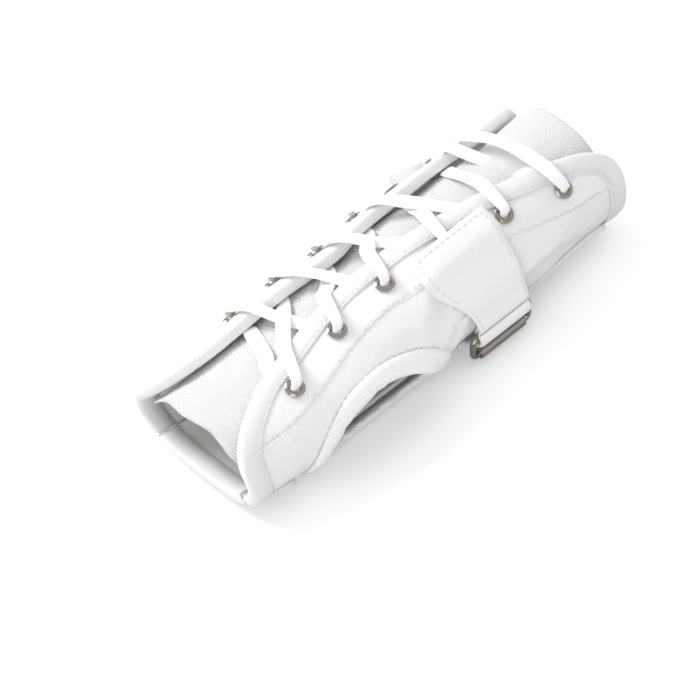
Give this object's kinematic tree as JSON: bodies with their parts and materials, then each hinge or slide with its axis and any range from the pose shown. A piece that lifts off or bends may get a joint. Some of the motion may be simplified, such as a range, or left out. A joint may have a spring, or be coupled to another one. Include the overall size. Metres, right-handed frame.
{
  "type": "lace-up wrist brace",
  "caption": "Right-hand lace-up wrist brace: cotton shell with a laced opening over the back, ribbed tongue, thumb opening, palm stay and a hook-and-loop strap through a metal ring.",
  "frame": {"origin": "middle of the footprint, on the surface that the palm side rests on", "axes": "+Z to the back of the hand, +X to the thumb side, +Y from the fingers to the forearm"},
  "size_m": [0.0908, 0.2266, 0.0644],
  "materials": {
    "cotton_duck": "matte woven",
    "flannel_lining": "napped",
    "cotton_tape": "woven tape",
    "knit_band": "soft knit",
    "ribbed_elastic": "fine ribs",
    "flat_lace": "braided",
    "strap_web": "brushed",
    "loop_tape": "looped pile",
    "hook_tape": "hooked",
    "nickel_plate": "polished nickel",
    "stay_aluminium": "mill",
    "clear_tip": "heat-shrunk film"
  },
  "bodies": {
    "splint": {"radial_panel": "cotton_duck", "volar_panel": "cotton_duck", "radial_lining": "flannel_lining", "volar_lining": "flannel_lining", "volar_stay": "stay_aluminium", "radial_eyestay": "cotton_duck", "radial_eyelets": "nickel_plate", "radial_washers": "nickel_plate", "radial_edge_binding": "cotton_tape", "distal_binding": "cotton_tape", "proximal_binding": "cotton_tape", "thumb_band": "knit_band", "radial_piping": "cotton_tape", "ulnar_piping": "cotton_tape", "tongue": "ribbed_elastic", "lace_strand_a": "flat_lace", "lace_strand_b": "flat_lace", "loop_patch": "loop_tape", "strap_lower": "strap_web", "ring_chape": "strap_web"},
    "ulnar_flap": {"ulnar_panel": "cotton_duck", "ulnar_lining": "flannel_lining", "ulnar_eyestay": "cotton_duck", "ulnar_eyelets": "nickel_plate", "ulnar_washers": "nickel_plate", "ulnar_edge_binding": "cotton_tape", "lace_knot": "flat_lace", "lace_tails": "flat_lace", "aglets": "clear_tip"},
    "ring": {"ring_frame": "nickel_plate"},
    "roller": {"ring_roller": "nickel_plate"},
    "strap_flap": {"strap_free_end": "strap_web", "strap_hook": "hook_tape"}
  },
  "joints": [
    {"name": "lacing_opening", "type": "hinge", "parent": "splint", "child": "ulnar_flap", "pos_m": [-0.037, 0, 0.011], "axis": [0, -1, 0], "range_deg": [0, 14], "deforming": ["lace_strand_a", "lace_strand_b"]},
    {"name": "strap_peel", "type": "hinge", "parent": "splint", "child": "strap_flap", "pos_m": [0.04287, 0.0286, 0.01882], "axis": [0, 1, 0], "range_deg": [0, 80]},
    {"name": "ring_swing", "type": "hinge", "parent": "splint", "child": "ring", "pos_m": [0.03992, 0.0286, 0.01528], "axis": [0, -1, 0], "range_deg": [0, 35]},
    {"name": "roller_spin", "type": "hinge", "parent": "ring", "child": "roller", "pos_m": [0.0369, 0.0286, 0.00315], "axis": [0, 1, 0], "continuous": true}
  ]
}
